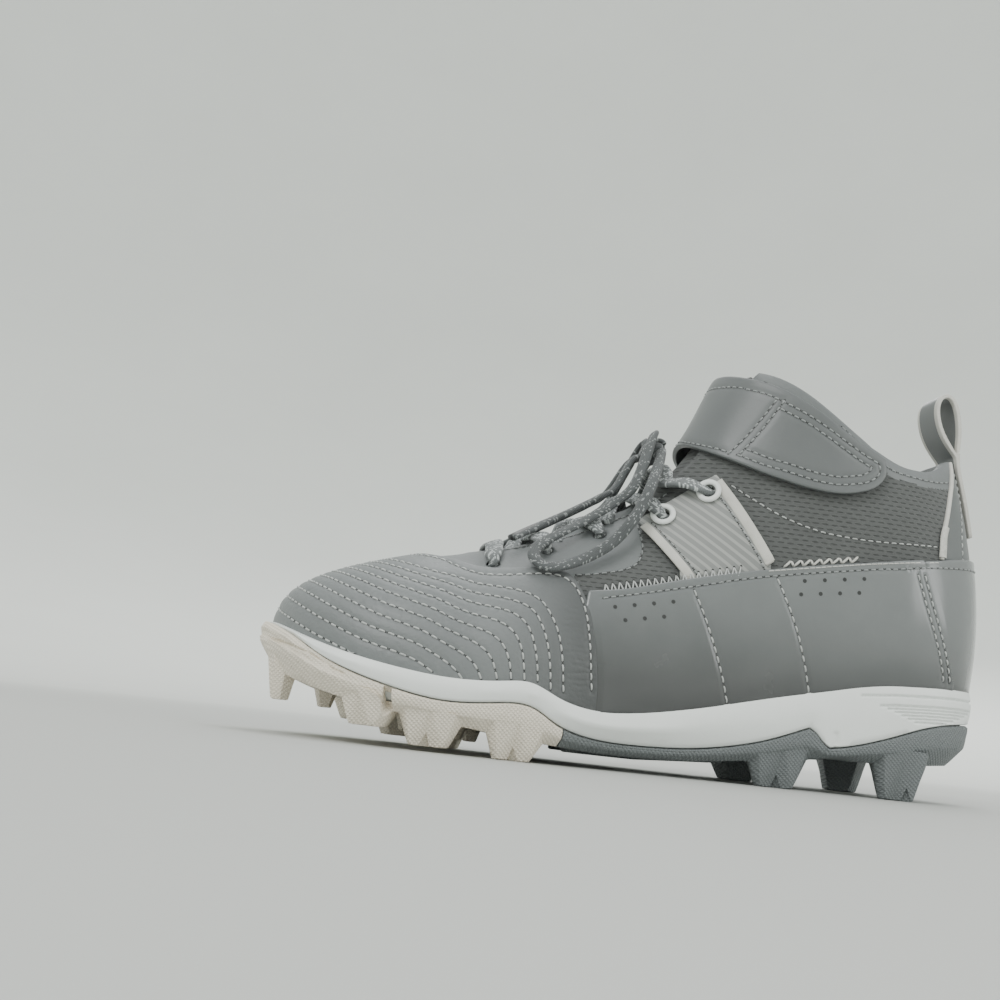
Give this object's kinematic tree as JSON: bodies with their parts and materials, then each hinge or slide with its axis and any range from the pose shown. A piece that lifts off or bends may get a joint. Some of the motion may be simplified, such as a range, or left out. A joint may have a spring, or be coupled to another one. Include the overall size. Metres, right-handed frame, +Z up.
{
  "type": "baseball cleat",
  "caption": "Mid-cut moulded baseball cleat for the left foot, with a laced throat, an ankle strap, a heel pull tab and a studded two-part outsole under a foam midsole.",
  "frame": {"origin": "middle of the shoe's box, on the plane that the studs stand on", "axes": "+X towards the heel, -X towards the toe, -Y towards the outer (lateral) side, +Z up"},
  "size_m": [0.2546, 0.0949, 0.1494],
  "materials": {
    "off_white_rubber": "matte moulded off-white compound",
    "gray_rubber": "matte moulded gray compound",
    "white_foam": "smooth painted white foam",
    "gray_textile": "dimpled gray textile",
    "gray_leather": "semi-matte gray synthetic leather",
    "gloss_leather": "glossy gray synthetic leather",
    "pale_panel": "pale gray synthetic leather",
    "white_ring": "white plastic",
    "lace_weave": "braided gray cord with light flecks"
  },
  "bodies": {
    "root": {"outsole_forefoot": "off_white_rubber", "outsole_rear": "gray_rubber", "midsole": "white_foam", "insole": "gray_textile", "upper": "gray_textile", "tongue": "gray_textile", "vamp_overlay": "gray_leather", "quarter_lateral": "gloss_leather", "quarter_medial": "gloss_leather", "heel_counter": "gloss_leather", "side_panel_lateral": "pale_panel", "side_panel_medial": "pale_panel", "eyelet_lateral_1": "white_ring", "eyelet_lateral_2": "white_ring", "eyelet_medial_1": "white_ring", "eyelet_medial_2": "white_ring", "ankle_strap": "gray_leather", "pull_tab": "gray_leather", "lace_bar_low": "lace_weave", "lace_cross_1": "lace_weave", "lace_cross_2": "lace_weave", "lace_cross_3": "lace_weave", "lace_bar_top": "lace_weave", "lace_knot": "lace_weave", "lace_loop_lateral": "lace_weave", "lace_loop_medial": "lace_weave", "lace_end_lateral": "lace_weave", "lace_end_medial": "lace_weave"}
  },
  "joints": []
}
